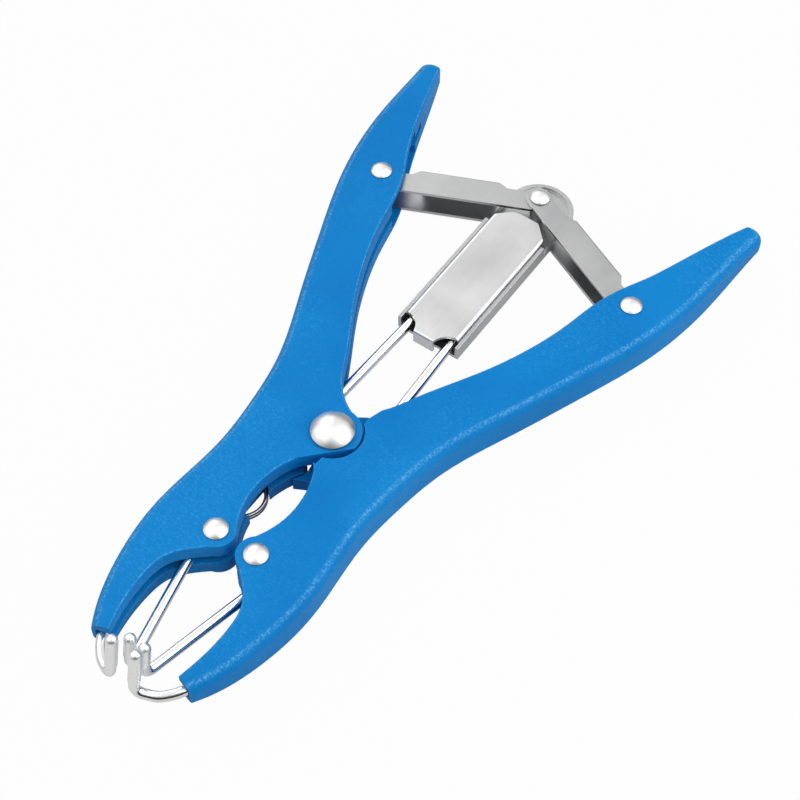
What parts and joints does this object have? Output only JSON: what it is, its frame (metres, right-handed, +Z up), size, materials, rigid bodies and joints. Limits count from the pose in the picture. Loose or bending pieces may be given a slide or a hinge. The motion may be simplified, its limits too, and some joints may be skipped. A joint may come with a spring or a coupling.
{
  "type": "elastrator pliers",
  "caption": "Hand pliers with upright prongs on jaws and sliding rods that stretch a rubber ring open for fitting to livestock.",
  "frame": {"origin": "on the central pivot axis at the resting plane, which is the flat lower face of the pivot rivet", "axes": "+X along the tool towards the prongs, +Y towards the left lever, +Z up along the prongs"},
  "size_m": [0.2261, 0.124, 0.024],
  "materials": {
    "lever_plastic": "moulded mid-blue plastic with a fine grain",
    "sheet_steel": "satin stainless sheet",
    "rod_chrome": "bright plated round wire",
    "rivet_steel": "bright nickel plated rivets",
    "spring_steel": "dark bright spring wire"
  },
  "bodies": {
    "frame": {"pivot_rivet": "rivet_steel", "pivot_washer": "sheet_steel", "pivot_bush": "rivet_steel"},
    "left_lever": {"left_lever": "lever_plastic", "left_handle_rivet": "rivet_steel", "left_jaw_rivet": "rivet_steel", "left_jaw_sleeve": "rivet_steel", "left_prong_wire": "rod_chrome"},
    "right_lever": {"right_lever": "lever_plastic", "right_handle_rivet": "rivet_steel", "right_jaw_rivet": "rivet_steel", "right_jaw_sleeve": "rivet_steel", "right_prong_wire": "rod_chrome", "return_spring": "spring_steel"},
    "carriage": {"carriage_tray": "sheet_steel", "carriage_cover": "sheet_steel", "toggle_rivet": "rivet_steel", "toggle_sleeve": "rivet_steel"},
    "left_link": {"left_link": "sheet_steel"},
    "right_link": {"right_link": "sheet_steel"},
    "left_rod": {"left_rod": "rod_chrome"},
    "right_rod": {"right_rod": "rod_chrome"}
  },
  "joints": [
    {"name": "left_lever_pivot", "type": "hinge", "parent": "frame", "child": "left_lever", "pos_m": [0, 0, 0.00795], "axis": [0, 0, 1], "range_deg": [0, 11], "stiffness_Nm_per_rad": 0.6},
    {"name": "right_lever_pivot", "type": "hinge", "parent": "frame", "child": "right_lever", "pos_m": [0, 0, 0.00795], "axis": [0, 0, 1], "range_deg": [-11, 0]},
    {"name": "carriage_slide", "type": "slide", "parent": "frame", "child": "carriage", "axis": [-1, 0, 0], "range_m": [0, 0.0282]},
    {"name": "left_link_pivot", "type": "hinge", "parent": "carriage", "child": "left_link", "pos_m": [-0.10516, 0, 0.00795], "axis": [0, 0, 1], "range_deg": [-31.76, 0]},
    {"name": "right_link_pivot", "type": "hinge", "parent": "carriage", "child": "right_link", "pos_m": [-0.10516, 0, 0.00795], "axis": [0, 0, 1], "range_deg": [0, 31.76]},
    {"name": "left_rod_pivot", "type": "hinge", "parent": "carriage", "child": "left_rod", "pos_m": [-0.052, 0.0068, 0.00795], "axis": [0, 0, 1], "range_deg": [0, 6.7]},
    {"name": "right_rod_pivot", "type": "hinge", "parent": "carriage", "child": "right_rod", "pos_m": [-0.052, -0.0068, 0.00795], "axis": [0, 0, 1], "range_deg": [-6.7, 0]}
  ],
  "couplings": [
    {"joint": "right_lever_pivot", "follows": "left_lever_pivot", "ratio": -1},
    {"joint": "carriage_slide", "follows": "left_lever_pivot", "m_per_rad": 0.1461},
    {"joint": "left_link_pivot", "follows": "left_lever_pivot", "ratio": -2.878},
    {"joint": "right_link_pivot", "follows": "left_lever_pivot", "ratio": 2.878},
    {"joint": "left_rod_pivot", "follows": "left_lever_pivot", "ratio": 0.6},
    {"joint": "right_rod_pivot", "follows": "left_lever_pivot", "ratio": -0.6}
  ]
}
